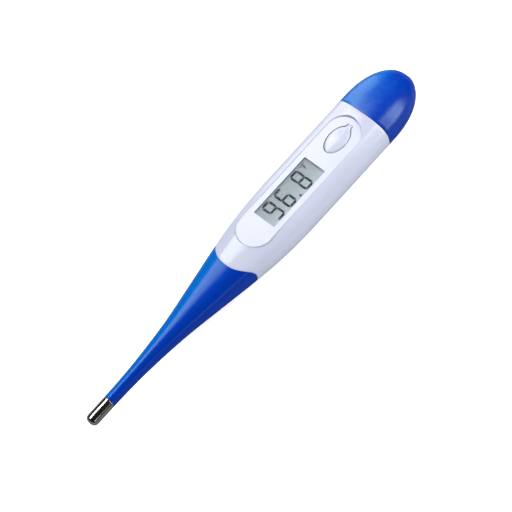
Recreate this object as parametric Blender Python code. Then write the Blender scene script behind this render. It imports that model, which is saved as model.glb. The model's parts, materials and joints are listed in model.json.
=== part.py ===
"""A digital thermometer with a flexible tip.

The thermometer lies on its back along X, its steel tip at -X and its battery cover at +X, with the
display facing +Z. The origin is on the surface it lies on, under the middle of its box.
Lengths below are in millimetres and become metres where a mesh is made.
"""

import math

import bmesh
import bpy
from mathutils import Vector

MM = 0.001

# Overall form
LENGTH = 130.0
TIP_X = -LENGTH / 2
END_X = LENGTH / 2
AXIS_Z = 5.8  # height of the centre line above the surface
BACK_SWELL = 0.04  # the back is this share deeper than the front, and is cut flat where it rests
# Distance from the tip, half width, half height: the sides swell from the probe to the body.
FORM = (
    (0.0, 1.85, 1.85),
    (9.0, 1.86, 1.86),
    (16.0, 2.03, 2.0),
    (22.0, 2.38, 2.25),
    (32.5, 3.33, 2.8),
    (46.4, 5.4, 4.05),
    (58.9, 7.31, 5.25),
    (66.5, 8.27, 5.72),
    (74.0, 8.82, 6.03),
    (84.0, 9.03, 6.1),
    (114.0, 9.07, 6.1),
    (130.0, 9.07, 6.1),
)
ROUND_SECTION = 2.0  # superellipse exponent of the probe
BODY_SECTION = 2.8  # and of the body
COVER_JOINT_X = 46.7
DOME_START_X = 49.0
DOME = 2.15  # exponent of the battery cover's rounded end
GAP = 0.3
THIN_GAP = 0.2
WALL = 1.2
SPARE = 2.0  # how far a cutter reaches past what it cuts

# Where the blue probe meets the white housing
JOINT_SIDE_X = -6.05
JOINT_TONGUE = 3.8  # the white reaches this much further along the front and the back

# Neck of the housing that the cover slides over
NECK_END_X = 51.7
NECK_INSET = 1.1
NECK_WALL = 0.7
SEAL_INSET = 1.6
SEAL_THICKNESS = 0.4
SEAT_X = NECK_END_X + 1.0  # step inside the cover that the seal bears on
SHOULDER_X = 45.7
ROOF_Z = 10.1  # the cavity is cut flat under the front panel
NECK_ROOF_Z = 9.7

# Front panel, display window and button
PANEL_X = 20.7
PANEL_LENGTH = 46.5
PANEL_HALF_WIDTH = 5.3
PANEL_TOP = 11.4
PANEL_THICKNESS = 0.6
PANEL_BOTTOM = PANEL_TOP - PANEL_THICKNESS
LEDGE = 0.7
WINDOW_X = 16.7
WINDOW_LENGTH = 20.95
WINDOW_HALF_WIDTH = 3.72
WINDOW_SINK = 0.05
BUTTON_X = 36.5
BUTTON_HALF_LENGTH = 4.55
BUTTON_HALF_WIDTH = 2.72
BUTTON_HINGE_X = 42.0
BUTTON_NECK_HALF = 0.65
BUTTON_RISE = 0.32

# Flexible probe: where its bending links turn, from the root to the tip
BEND_X = (-33.0, -38.5, -44.0, -49.5)
STEEL_RADIUS = 1.85
STEEL_MOUTH_X = -57.3
STEEL_WALL = 0.25
STEEL_NOSE = 1.6
SPIGOT_END_X = -59.9
BORE = 0.7
SPIGOT_BORE = 0.6
LEAD = 0.3
PLUG_END_X = -1.5
PLUG_INSET = 1.5
BEAD_X = -63.0
BEAD_RADIUS = 0.5
# Cup of adhesive round the bead: distance along X and radius
ADHESIVE = ((-64.4, 0.4), (-64.1, 1.0), (-63.6, 1.3), (-60.2, 1.3), (-60.2, 0.8), (-63.8, 0.8))

# Inner chassis
FLOOR_BOTTOM = 2.8
FLOOR_TOP = 3.4
NOSE_X = -1.0
NOSE_HALF = 4.6
WIDE_START_X = 3.0
WIDE_END_X = 42.4
WIDE_HALF = 6.1
TAIL_HALF = 4.8
CHASSIS_WALL = 0.7
WIDE_TOP = 6.4
TAIL_TOP = 7.0
POCKET_END_X = 46.7
CONTACT_SLOT = (45.7, 50.7, 1.9)  # start, end and half width
NOTCH_HALF = 1.0
NOTCH_BOTTOM = 4.4
SCREW_XS = (2.6, 40.6)
POST_RADIUS = 1.3
SCREW_HOLE = 0.65
SCREW_SHANK = 0.35
SCREW_HEAD = 0.95
SCREW_HEAD_HEIGHT = 0.5
SCREW_BOTTOM = 3.6

# Circuit board and what it carries
BOARD_BOTTOM = 4.8
BOARD_TOP = 5.6
BOARD_END_X = 45.3
ON_BOARD = BOARD_TOP + THIN_GAP
FRONT_GLASS = (22.4, 4.2, 10.0, PANEL_BOTTOM - GAP)  # length, half width, bottom and top
REAR_GLASS = (23.2, 4.3, 9.3, 9.8)
REFLECTOR = (21.6, 2.7, 8.9, 9.1)
FRAME_OUTER = (25.0, 5.0)
FRAME_INNER = (23.8, 4.55)
ZEBRA_HALF_LENGTH = 10.9
ZEBRA_WIDTH = 1.0
ZEBRA_Y = 3.6
BLOB_RADIUS = 2.3
BLOB_HEIGHT = 0.9
CHIP_X = 38.8
CHIP_Y = 2.6
CHIP_SIZE = (1.6, 0.4, 0.5)  # length, half width and height
SWITCH_X = 33.6
SWITCH_SIDE = 4.6
SWITCH_TOP = 9.6
WELL_RADIUS = 1.2
WELL_BOTTOM = 8.0
PLUNGER_RADIUS = 0.9
PLUNGER_BOTTOM = 8.7
PLUNGER_TOP = PANEL_BOTTOM - GAP
BUZZER_X = 21.0
BUZZER_BRASS = (4.5, 3.6, 3.8)  # radius, bottom and top
BUZZER_CERAMIC = (3.2, 4.0, 4.15)
LEAD_END = (0.0, 3.9, 2.4, 0.22)  # start and end along X, place across, and radius

# Button cell and its contacts
BATTERY_X = 52.9
BATTERY_RADIUS = 3.95
BATTERY_HEIGHT = 3.6
BATTERY_BOTTOM = 4.0
BATTERY_LID = 3.0
CONTACT_HALF = 1.4
CONTACT_THICKNESS = 0.2
CONTACT_START_X = 42.2
CONTACT_END_X = 54.1

BODY_SIDES = 44
PROBE_SIDES = 24
SMALL_SIDES = 20


def remove_all_objects():
    for old in list(bpy.data.objects):
        bpy.data.objects.remove(old, do_unlink=True)


def material(name, colour, roughness, metallic=0.0, alpha=1.0):
    """A Principled material, made once and shared by the pieces that name it."""
    found = bpy.data.materials.get(name)
    if found:
        return found
    made = bpy.data.materials.new(name)
    made.use_nodes = True
    shader = made.node_tree.nodes["Principled BSDF"]
    shader.inputs["Base Color"].default_value = (*colour, 1.0)
    shader.inputs["Roughness"].default_value = roughness
    shader.inputs["Metallic"].default_value = metallic
    shader.inputs["Alpha"].default_value = alpha
    return made


def white_plastic():
    return material("white_plastic", (0.80, 0.82, 0.90), 0.35)


def blue_rubber():
    return material("blue_rubber", (0.0, 0.05, 0.42), 0.38)


def blue_plastic():
    return material("blue_plastic", (0.0, 0.08, 0.55), 0.25)


def steel():
    return material("steel", (0.62, 0.61, 0.60), 0.18, 1.0)


def clear_plastic():
    return material("clear_plastic", (0.85, 0.88, 0.9), 0.05, 0.0, 0.3)


def display_glass():
    return material("display_glass", (0.32, 0.38, 0.38), 0.2)


def mirror_film():
    return material("mirror_film", (0.6, 0.63, 0.62), 0.3, 0.8)


def chassis_plastic():
    return material("chassis_plastic", (0.7, 0.7, 0.72), 0.5)


def board_green():
    return material("board_green", (0.03, 0.22, 0.09), 0.4)


def dark_rubber():
    return material("dark_rubber", (0.05, 0.05, 0.055), 0.7)


def black_epoxy():
    return material("black_epoxy", (0.02, 0.02, 0.02), 0.3)


def spring_metal():
    return material("spring_metal", (0.75, 0.72, 0.65), 0.25, 1.0)


def brass():
    return material("brass", (0.75, 0.55, 0.22), 0.3, 1.0)


def ceramic():
    return material("ceramic", (0.82, 0.8, 0.76), 0.5)


def insulation():
    return material("insulation", (0.45, 0.05, 0.03), 0.45)


# ---------------------------------------------------------------- form of the outside


def form_at(x):
    """Half width and half height at x, by a smooth curve through FORM that never overshoots."""
    distance = min(max(x - TIP_X, FORM[0][0]), FORM[-1][0])
    k = next(i for i in range(1, len(FORM)) if distance <= FORM[i][0])
    return tuple(hermite(k, column, distance) for column in (1, 2))


def slope(k, column):
    """Slope of the curve at station k: the harmonic mean of its two sides, or flat at a turn."""
    if k in (0, len(FORM) - 1):
        return 0.0
    before = (FORM[k][column] - FORM[k - 1][column]) / (FORM[k][0] - FORM[k - 1][0])
    after = (FORM[k + 1][column] - FORM[k][column]) / (FORM[k + 1][0] - FORM[k][0])
    if before * after <= 0:
        return 0.0
    return 2 * before * after / (before + after)


def hermite(k, column, distance):
    start, end = FORM[k - 1], FORM[k]
    step = end[0] - start[0]
    t = (distance - start[0]) / step
    rise = 3 * t**2 - 2 * t**3
    bend = slope(k - 1, column) * (t**3 - 2 * t**2 + t) + slope(k, column) * (t**3 - t**2)
    return start[column] + (end[column] - start[column]) * rise + step * bend


def ease(value, low, high):
    t = min(max((value - low) / (high - low), 0.0), 1.0)
    return t * t * (3 - 2 * t)


def section_point(x, angle, inset=0.0, scale=1.0, roof=None):
    """A point of the outside's section at x. inset moves it inwards, and scale shrinks the section."""
    half_width, half_height = form_at(x)
    grown = ease(x, -50.0, 0.0)
    power = 2 / (ROUND_SECTION + (BODY_SECTION - ROUND_SECTION) * grown)
    across, up = math.cos(angle), math.sin(angle)
    y = (half_width * scale - inset) * math.copysign(abs(across) ** power, across)
    rise = (half_height * scale - inset) * math.copysign(abs(up) ** power, up)
    if up < 0:
        rise *= 1 + BACK_SWELL * ease(x, -20.0, 5.0)
    z = max(AXIS_Z + rise, inset)
    if roof is not None:
        z = min(z, roof)
    return Vector((x, y, z))


def angles(count):
    return [2 * math.pi * (k + 0.5) / count for k in range(count)]


def section(x, inset=0.0, scale=1.0, sides=BODY_SIDES, roof=None):
    return [section_point(x, angle, inset, scale, roof) for angle in angles(sides)]


def joint_x(angle):
    """The line where blue meets white: a tongue of white along the front and the back."""
    return JOINT_SIDE_X - JOINT_TONGUE * math.sin(angle) ** 2


def dome_scale(x):
    """Size of the section at x, past the start of the rounded end, as a share of the section there."""
    share = min(max((x - DOME_START_X) / (END_X - DOME_START_X), 0.0), 1.0)
    return (1 - share**DOME) ** (1 / DOME)


def dome_section(x, inset=0.0, roof=None):
    return section(x, inset, dome_scale(x), roof=roof)


# ---------------------------------------------------------------- meshes


def add_object(name, mesh, look, sharp=30.0):
    mesh.materials.append(look)
    mesh.shade_smooth()
    mesh.set_sharp_from_angle(angle=math.radians(sharp))
    made = bpy.data.objects.new(name, mesh)
    bpy.context.scene.collection.objects.link(made)
    return made


def loft(name, rings, look, tube=False, origin=(0.0, 0.0, 0.0)):
    """Joins rings of points with faces. A tube joins its last ring to its first; else both ends close."""
    shape = bmesh.new()
    origin = Vector(origin)
    made = [[shape.verts.new((Vector(p) - origin) * MM) for p in ring] for ring in rings]
    pairs = list(zip(made, made[1:]))
    if tube:
        pairs.append((made[-1], made[0]))
    else:
        shape.faces.new(made[0])
        shape.faces.new(made[-1])
    for first, second in pairs:
        for k in range(len(first)):
            after = (k + 1) % len(first)
            shape.faces.new((first[k], first[after], second[after], second[k]))
    bmesh.ops.recalc_face_normals(shape, faces=shape.faces)
    bmesh.ops.triangulate(shape, faces=shape.faces)
    mesh = bpy.data.meshes.new(name)
    shape.to_mesh(mesh)
    shape.free()
    made_object = add_object(name, mesh, look)
    made_object.location = origin * MM
    return made_object


def at_height(outline, z):
    return [Vector((x, y, z)) for x, y in outline]


def plate(name, outline, bottom, top, look, origin=(0.0, 0.0, 0.0)):
    return loft(name, [at_height(outline, bottom), at_height(outline, top)], look, origin=origin)


def frame_ring(name, outer, inner, bottom, top, look):
    """A plate with a hole: the two outlines have the same number of points."""
    rings = [at_height(outer, bottom), at_height(outer, top)]
    rings += [at_height(inner, top), at_height(inner, bottom)]
    return loft(name, rings, look, tube=True)


def strip(name, profile, half_width, look):
    """A bent strip of sheet, its outline given in X and Z and pushed out along Y."""
    rings = [[Vector((x, y, z)) for x, z in profile] for y in (-half_width, half_width)]
    return loft(name, rings, look)


def round_ring(x, radius, sides, y=0.0, z=AXIS_Z):
    """A ring about a line along X."""
    return [Vector((x, y + radius * math.cos(a), z + radius * math.sin(a))) for a in angles(sides)]


def rod(name, start_x, end_x, radius, look, y=0.0, z=AXIS_Z, sides=12):
    return loft(name, [round_ring(x, radius, sides, y, z) for x in (start_x, end_x)], look)


def cutter(made):
    made.hide_render = True
    made.display_type = "WIRE"
    return made


def cut(piece, tool):
    change = piece.modifiers.new("cut_" + tool.name, "BOOLEAN")
    change.operation = "DIFFERENCE"
    change.object = cutter(tool)


# ---------------------------------------------------------------- outlines in plan


def circle(x, y, radius, sides=SMALL_SIDES):
    return [(x + radius * math.cos(a), y + radius * math.sin(a)) for a in angles(sides)]


def stadium(x, length, half_width, per_end=12):
    """A long outline with half-round ends."""
    straight = length / 2 - half_width
    points = []
    for side, start in ((1, -math.pi / 2), (-1, math.pi / 2)):
        for k in range(per_end + 1):
            a = start + math.pi * k / per_end
            points.append((x + side * straight + half_width * math.cos(a), half_width * math.sin(a)))
    return points


def rounded_rectangle(x, length, half_width, radius=0.3, per_corner=3):
    points = []
    for quarter, (sx, sy) in enumerate(((1, 1), (-1, 1), (-1, -1), (1, -1))):
        for k in range(per_corner + 1):
            a = math.pi / 2 * (quarter + k / per_corner)
            cx = x + sx * (length / 2 - radius)
            cy = sy * (half_width - radius)
            points.append((cx + radius * math.cos(a), cy + radius * math.sin(a)))
    return points


def button_outline(grow=0.0, sides=28):
    """An oval with a narrow neck at its hinge."""
    neck_half = BUTTON_NECK_HALF + grow
    neck_x = BUTTON_HINGE_X + grow
    length, width = BUTTON_HALF_LENGTH + grow, BUTTON_HALF_WIDTH + grow
    points = []
    for k in range(sides + 1):
        a = 2 * math.pi * k / sides
        y = width * math.sin(a)
        if math.cos(a) > 0 and abs(y) < neck_half + 0.15:
            continue
        points.append((BUTTON_X + length * math.cos(a), y))
    return [(neck_x, -neck_half), (neck_x, neck_half)] + points


def box_outline(start_x, end_x, half_width):
    return [(start_x, -half_width), (end_x, -half_width), (end_x, half_width), (start_x, half_width)]


def chassis_outline(inset, nose_x, tail_end=None):
    """Plan of the tray: a narrow nose, a wide middle, a narrow tail and the battery's round end."""
    side = [
        (nose_x + inset, NOSE_HALF - inset),
        (WIDE_START_X + inset, NOSE_HALF - inset),
        (WIDE_START_X + inset, WIDE_HALF - inset),
        (WIDE_END_X - inset, WIDE_HALF - inset),
        (WIDE_END_X - inset, TAIL_HALF - inset),
    ]
    if tail_end is None:
        steps = 8
        reach = TAIL_HALF - inset
        for k in range(steps + 1):
            a = math.pi / 2 * (1 - k / steps)
            side.append((BATTERY_X + reach * math.cos(a), reach * math.sin(a)))
        mirrored = side[:-1]
    else:
        side.append((tail_end, TAIL_HALF - inset))
        mirrored = side
    return side + [(x, -y) for x, y in reversed(mirrored)]


# ---------------------------------------------------------------- housing, panel, cover


def build_housing():
    """One moulded tube: open at the probe, necked at the cover, sunk and pierced for the panel."""
    rings = []
    for share in (0.0, 0.05, 0.11, 0.18, 0.26, 0.36, 0.6, 1.0):
        ring = []
        for angle in angles(BODY_SIDES):
            start = joint_x(angle)
            ring.append(section_point(start + (COVER_JOINT_X - start) * share, angle))
        rings.append(ring)
    rings.append(section(COVER_JOINT_X, NECK_INSET))
    rings.append(dome_section(NECK_END_X, NECK_INSET))
    inner = NECK_INSET + NECK_WALL
    rings.append(dome_section(NECK_END_X, inner, roof=NECK_ROOF_Z))
    rings.append(section(SHOULDER_X, inner, roof=NECK_ROOF_Z))
    rings.append(section(SHOULDER_X, WALL, roof=ROOF_Z))
    for share in (0.5, 0.25, 0.12, 0.0):
        ring = []
        for angle in angles(BODY_SIDES):
            start = joint_x(angle)
            ring.append(section_point(start + (SHOULDER_X - start) * share, angle, WALL, roof=ROOF_Z))
        rings.append(ring)
    housing = loft("body_housing", rings, white_plastic(), tube=True)
    bed = stadium(PANEL_X, PANEL_LENGTH + 2 * GAP, PANEL_HALF_WIDTH + GAP)
    hole = stadium(PANEL_X, PANEL_LENGTH - 2 * LEDGE, PANEL_HALF_WIDTH - LEDGE)
    cut(housing, plate("panel_hole_cutter", hole, ROOF_Z - SPARE, PANEL_TOP + SPARE, white_plastic()))
    low, high = PANEL_BOTTOM - GAP, PANEL_TOP + SPARE + 1
    cut(housing, plate("panel_bed_cutter", bed, low, high, white_plastic()))


def build_front_panel():
    outline = stadium(PANEL_X, PANEL_LENGTH, PANEL_HALF_WIDTH)
    panel = plate("front_panel", outline, PANEL_BOTTOM, PANEL_TOP, white_plastic())
    low, high = PANEL_BOTTOM - SPARE, PANEL_TOP + SPARE
    window = rounded_rectangle(WINDOW_X, WINDOW_LENGTH, WINDOW_HALF_WIDTH)
    cut(panel, plate("window_cutter", window, low, high, white_plastic()))
    cut(panel, plate("button_cutter", button_outline(GAP), low, high, white_plastic()))


def build_display_window():
    outline = rounded_rectangle(WINDOW_X, WINDOW_LENGTH - 2 * GAP, WINDOW_HALF_WIDTH - GAP)
    plate("display_window", outline, PANEL_BOTTOM, PANEL_TOP - WINDOW_SINK, clear_plastic())


def build_power_button():
    """A shallow dome on a flat key. Its origin is on the living hinge."""
    outline = button_outline()
    rings = [at_height(outline, PANEL_BOTTOM), at_height(outline, PANEL_TOP)]
    for scale, rise in ((0.86, 0.7), (0.6, 1.0)):
        shrunk = [(BUTTON_X + (x - BUTTON_X) * scale, y * scale) for x, y in outline]
        rings.append(at_height(shrunk, PANEL_TOP + BUTTON_RISE * rise))
    hinge = (BUTTON_HINGE_X, 0.0, (PANEL_TOP + PANEL_BOTTOM) / 2)
    loft("power_button", rings, white_plastic(), origin=hinge)


def build_battery_cover():
    """A cup with a rounded end, stepped inside where it presses the seal ring on the neck."""
    mouth = COVER_JOINT_X + GAP
    depth = END_X - COVER_JOINT_X
    shares = (0.999, 0.985, 0.95, 0.88, 0.78, 0.66, 0.5, 0.3)
    rings = [dome_section(COVER_JOINT_X + depth * share) for share in shares]
    rings.append(dome_section(mouth))
    rings.append(dome_section(mouth, NECK_INSET - GAP))
    rings.append(dome_section(SEAT_X, NECK_INSET - GAP))
    rings.append(dome_section(SEAT_X, WALL))
    for share in (0.5, 0.65, 0.77, 0.86, 0.91):
        rings.append(dome_section(COVER_JOINT_X + depth * share, WALL))
    loft("battery_cover", rings, blue_plastic())


def build_seal_ring():
    """A flat silicone ring between the end of the neck and the step in the cover."""
    low = NECK_END_X + GAP
    high = low + SEAL_THICKNESS
    corners = ((low, NECK_INSET), (high, NECK_INSET), (high, SEAL_INSET), (low, SEAL_INSET))
    rings = [dome_section(x, inset) for x, inset in corners]
    loft("cover_seal_ring", rings, dark_rubber(), tube=True)


# ---------------------------------------------------------------- flexible probe


def ball_radius(bend_x):
    return form_at(bend_x)[0]


def ball_surface(bend_x, radius, angle, share):
    """A point of the ball about a bend: share 0 is its pole and 1 the probe's outside."""
    x = bend_x
    for _ in range(6):
        on_skin = section_point(x, angle)
        across = on_skin.y * share
        up = (on_skin.z - AXIS_Z) * share
        x = bend_x + math.sqrt(max(radius**2 - across**2 - up**2, 0.0))
    return Vector((x, across, AXIS_Z + up))


def ball_rings(bend_x, radius):
    """Rings over the ball, from near its pole out to the skin."""
    rings = []
    for share in (0.05, 0.5, 0.8, 1.0):
        rings.append([ball_surface(bend_x, radius, angle, share) for angle in angles(PROBE_SIDES)])
    return rings


def skin_between(first, last, steps):
    """Rings on the probe's outside between two rings that end on it."""
    rings = []
    for step in range(1, steps):
        ring = []
        for k, angle in enumerate(angles(PROBE_SIDES)):
            x = first[k].x + (last[k].x - first[k].x) * step / steps
            ring.append(section_point(x, angle))
        rings.append(ring)
    return rings


def bored(piece, name, start_x, end_x, radius=BORE):
    cut(piece, rod(name, start_x, end_x, radius, dark_rubber()))


def build_probe_root():
    """The thick end of the probe, from its socket to the plug inside the housing."""
    socket = ball_rings(BEND_X[0], ball_radius(BEND_X[0]) + GAP)
    around = angles(PROBE_SIDES)
    edge = [section_point(joint_x(a) - GAP, a) for a in around]
    step = [section_point(joint_x(a) - GAP, a, PLUG_INSET) for a in around]
    plug_end = section(PLUG_END_X, PLUG_INSET, sides=PROBE_SIDES, roof=ROOF_Z - GAP)
    rings = socket + skin_between(socket[-1], edge, 6) + [edge, step, plug_end]
    root = loft("flex_probe_root", rings, blue_rubber())
    bored(root, "root_bore_cutter", BEND_X[0] - SPARE, PLUG_END_X + SPARE)


def build_probe_link(number):
    """One link of the bending part, from its ball to the socket for the next link."""
    bend, after = BEND_X[number - 1], BEND_X[number]
    ball = ball_rings(bend, ball_radius(bend))
    socket = ball_rings(after, ball_radius(after) + GAP)
    rings = ball + skin_between(ball[-1], socket[-1], 3) + socket[::-1]
    link = loft(f"flex_probe_link_{number}", rings, blue_rubber())
    bored(link, f"link_{number}_bore_cutter", after - SPARE, bend + ball_radius(bend) + SPARE)


def build_probe_tip():
    """The last link: it ends in a spigot inside the steel cap."""
    bend = BEND_X[-1]
    shoulder_x = STEEL_MOUTH_X + GAP
    ball = ball_rings(bend, ball_radius(bend))
    shoulder = section(shoulder_x, sides=PROBE_SIDES)
    inset = form_at(shoulder_x)[0] - (STEEL_RADIUS - STEEL_WALL - GAP)
    rings = ball + skin_between(ball[-1], shoulder, 3)
    rings += [shoulder, section(shoulder_x, inset, sides=PROBE_SIDES)]
    rings.append(section(SPIGOT_END_X, inset, sides=PROBE_SIDES))
    tip = loft("flex_probe_tip", rings, blue_rubber())
    far = bend + ball_radius(bend) + SPARE
    bored(tip, "tip_bore_cutter", SPIGOT_END_X - SPARE, far, SPIGOT_BORE)


def build_steel_tip():
    """A drawn steel cup with a rounded end."""
    rings = []
    for inset, order in ((0.0, 1), (STEEL_WALL, -1)):
        cup = []
        radius = STEEL_RADIUS - inset
        for share in (0.999, 0.97, 0.86, 0.62, 0.3, 0.0):
            x = TIP_X + STEEL_NOSE - (STEEL_NOSE - inset) * share
            cup.append(round_ring(x, radius * (1 - share**2.4) ** (1 / 2.4), PROBE_SIDES))
        cup.append(round_ring(STEEL_MOUTH_X, radius, PROBE_SIDES))
        rings += cup[::order]
    loft("steel_tip", rings, steel())


def build_sensor():
    """The thermistor bead, and the cup of heat-conducting adhesive that holds it in the steel tip."""
    bead = []
    for k in range(7):
        a = math.pi * (k + 0.4) / 6.8
        bead.append(round_ring(BEAD_X - BEAD_RADIUS * math.cos(a), BEAD_RADIUS * math.sin(a), 16))
    loft("thermistor_bead", bead, black_epoxy())
    loft("tip_adhesive", [round_ring(x, radius, 16) for x, radius in ADHESIVE], ceramic())


def lead(name, start_x, end_x):
    rod(name, start_x, end_x, LEAD, insulation())


def build_leads():
    """The sensor lead. It is one lead on the real object, cut here where the probe's links turn."""
    lead("sensor_lead_tip", BEAD_X + BEAD_RADIUS + GAP, BEND_X[-1] + 1.2)
    for number in (3, 2, 1):
        start = BEND_X[number] + ball_radius(BEND_X[number]) + GAP + THIN_GAP
        end = BEND_X[number - 1] + ball_radius(BEND_X[number - 1]) - THIN_GAP
        lead(f"sensor_lead_link_{number}", start, end)
    lead("sensor_lead_root", BEND_X[0] + ball_radius(BEND_X[0]) + GAP + THIN_GAP, PLUG_END_X)
    start, end, across, radius = LEAD_END
    rod("sensor_lead_board_end", start, end, radius, insulation(), y=across, z=ON_BOARD + radius)


# ---------------------------------------------------------------- chassis and electronics


def add_post(tray, number, x):
    """A screw post, joined to the tray, with a blind hole."""
    base, top = FLOOR_TOP - 0.4, BOARD_BOTTOM - THIN_GAP
    post = plate(f"post_{number}", circle(x, 0.0, POST_RADIUS), base, top, chassis_plastic())
    join = tray.modifiers.new(f"join_post_{number}", "BOOLEAN")
    join.operation = "UNION"
    join.object = cutter(post)
    hole = circle(x, 0.0, SCREW_HOLE)
    cut(tray, plate(f"post_hole_{number}", hole, FLOOR_TOP - THIN_GAP, TAIL_TOP, chassis_plastic()))


def build_chassis():
    """A tray that slides in the housing. Its wide part stops on the neck; its tail holds the cell."""
    look = chassis_plastic()
    above = TAIL_TOP + SPARE
    tray = plate("inner_chassis", chassis_outline(0.0, NOSE_X), FLOOR_BOTTOM, TAIL_TOP, look)
    pocket = chassis_outline(CHASSIS_WALL, NOSE_X, tail_end=POCKET_END_X)
    cut(tray, plate("board_pocket_cutter", pocket, FLOOR_TOP, above, look))
    chamber = circle(BATTERY_X, 0.0, TAIL_HALF - CHASSIS_WALL, 32)
    cut(tray, plate("battery_pocket_cutter", chamber, FLOOR_TOP, above, look))
    cut(tray, plate("contact_slot_cutter", box_outline(*CONTACT_SLOT), FLOOR_TOP, above, look))
    rails = box_outline(NOSE_X - SPARE, WIDE_END_X + 1.5, WIDE_HALF + SPARE)
    cut(tray, plate("rail_height_cutter", rails, WIDE_TOP, above, look))
    notch = box_outline(NOSE_X - SPARE, NOSE_X + CHASSIS_WALL + 0.5, NOTCH_HALF)
    cut(tray, plate("lead_notch_cutter", notch, NOTCH_BOTTOM, above, look))
    for number, x in enumerate(SCREW_XS):
        add_post(tray, number, x)


def build_board():
    outline = chassis_outline(CHASSIS_WALL + GAP, NOSE_X, tail_end=BOARD_END_X)
    board = plate("circuit_board", outline, BOARD_BOTTOM, BOARD_TOP, board_green())
    low, high = BOARD_BOTTOM - SPARE, BOARD_TOP + SPARE
    for number, x in enumerate(SCREW_XS):
        hole = circle(x, 0.0, SCREW_HOLE)
        cut(board, plate(f"board_hole_{number}", hole, low, high, board_green()))


def build_board_screws():
    top = ON_BOARD + SCREW_HEAD_HEIGHT
    profile = (
        (SCREW_BOTTOM, SCREW_SHANK),
        (ON_BOARD, SCREW_SHANK),
        (ON_BOARD, SCREW_HEAD),
        (top - 0.15, SCREW_HEAD),
        (top, SCREW_HEAD - 0.35),
    )
    for name, x in zip(("board_screw_front", "board_screw_rear"), SCREW_XS):
        loft(name, [at_height(circle(x, 0.0, radius, 14), z) for z, radius in profile], steel())


def display_layer(name, size, look):
    length, half_width, bottom, top = size
    plate(name, rounded_rectangle(WINDOW_X, length, half_width), bottom, top, look)


def build_display():
    """Two glasses over a reflector, in a frame, on two elastomer strips down to the board."""
    display_layer("lcd_front_glass", FRONT_GLASS, display_glass())
    display_layer("lcd_rear_glass", REAR_GLASS, display_glass())
    display_layer("lcd_reflector", REFLECTOR, mirror_film())
    outer = rounded_rectangle(WINDOW_X, *FRAME_OUTER)
    inner = rounded_rectangle(WINDOW_X, *FRAME_INNER)
    frame_ring("lcd_frame", outer, inner, ON_BOARD, ROOF_Z - GAP, chassis_plastic())
    start, end = WINDOW_X - ZEBRA_HALF_LENGTH, WINDOW_X + ZEBRA_HALF_LENGTH
    strip_outline = box_outline(start, end, ZEBRA_WIDTH / 2)
    for name, across in (("zebra_connector_left", ZEBRA_Y), ("zebra_connector_right", -ZEBRA_Y)):
        outline = [(x, y + across) for x, y in strip_outline]
        plate(name, outline, ON_BOARD, REFLECTOR[3], dark_rubber())


def build_controller():
    """The controller chip under its drop of epoxy."""
    rings = []
    for share in (0.0, 0.4, 0.75, 0.95):
        radius = BLOB_RADIUS * math.sqrt(1 - share**2)
        rings.append(at_height(circle(WINDOW_X, 0.0, radius), ON_BOARD + BLOB_HEIGHT * share))
    loft("controller_epoxy_blob", rings, black_epoxy())


def build_chip(name, y, look):
    length, half_width, height = CHIP_SIZE
    outline = rounded_rectangle(CHIP_X, length, half_width, 0.08, 1)
    plate(name, [(px, py + y) for px, py in outline], ON_BOARD, ON_BOARD + height, look)


def build_switch():
    """A tact switch. Its plunger sinks in a blind hole, under the free end of the button."""
    side = rounded_rectangle(SWITCH_X, SWITCH_SIDE, SWITCH_SIDE / 2)
    housing = plate("switch_housing", side, ON_BOARD, SWITCH_TOP, dark_rubber())
    well = circle(SWITCH_X, 0.0, WELL_RADIUS)
    cut(housing, plate("switch_well_cutter", well, WELL_BOTTOM, SWITCH_TOP + SPARE, dark_rubber()))
    base = (SWITCH_X, 0.0, PLUNGER_BOTTOM)
    outline = circle(SWITCH_X, 0.0, PLUNGER_RADIUS)
    plate("switch_plunger", outline, PLUNGER_BOTTOM, PLUNGER_TOP, white_plastic(), origin=base)


def build_buzzer():
    radius, bottom, top = BUZZER_BRASS
    plate("buzzer_brass_disc", circle(BUZZER_X, 0.0, radius, 28), bottom, top, brass())
    radius, bottom, top = BUZZER_CERAMIC
    plate("buzzer_ceramic_disc", circle(BUZZER_X, 0.0, radius, 24), bottom, top, ceramic())


def build_battery():
    top = BATTERY_BOTTOM + BATTERY_HEIGHT
    profile = (
        (BATTERY_BOTTOM, BATTERY_LID),
        (BATTERY_BOTTOM + 0.25, BATTERY_LID),
        (BATTERY_BOTTOM + 0.5, BATTERY_RADIUS - 0.15),
        (BATTERY_BOTTOM + 0.7, BATTERY_RADIUS),
        (top - 0.2, BATTERY_RADIUS),
        (top, BATTERY_RADIUS - 0.2),
    )
    rings = [at_height(circle(BATTERY_X, 0.0, radius, 32), z) for z, radius in profile]
    loft("battery_cell", rings, spring_metal())


def build_contacts():
    """Bent spring strips under and over the cell."""
    start, end = CONTACT_START_X, CONTACT_END_X
    low_top = BATTERY_BOTTOM - THIN_GAP
    low = low_top - CONTACT_THICKNESS
    foot = BOARD_BOTTOM - THIN_GAP
    lower = (
        (start, low),
        (end, low),
        (end, low_top),
        (start + 1.0, low_top),
        (start + 0.6, foot),
        (start, foot),
    )
    strip("battery_contact_lower", lower, CONTACT_HALF, spring_metal())
    high = BATTERY_BOTTOM + BATTERY_HEIGHT + THIN_GAP
    high_top = high + CONTACT_THICKNESS
    leg = start + 0.4
    upper = (
        (leg, ON_BOARD),
        (leg + 0.25, ON_BOARD),
        (leg + 0.25, high),
        (end, high),
        (end, high_top),
        (leg, high_top),
    )
    strip("battery_contact_upper", upper, CONTACT_HALF, spring_metal())


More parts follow.
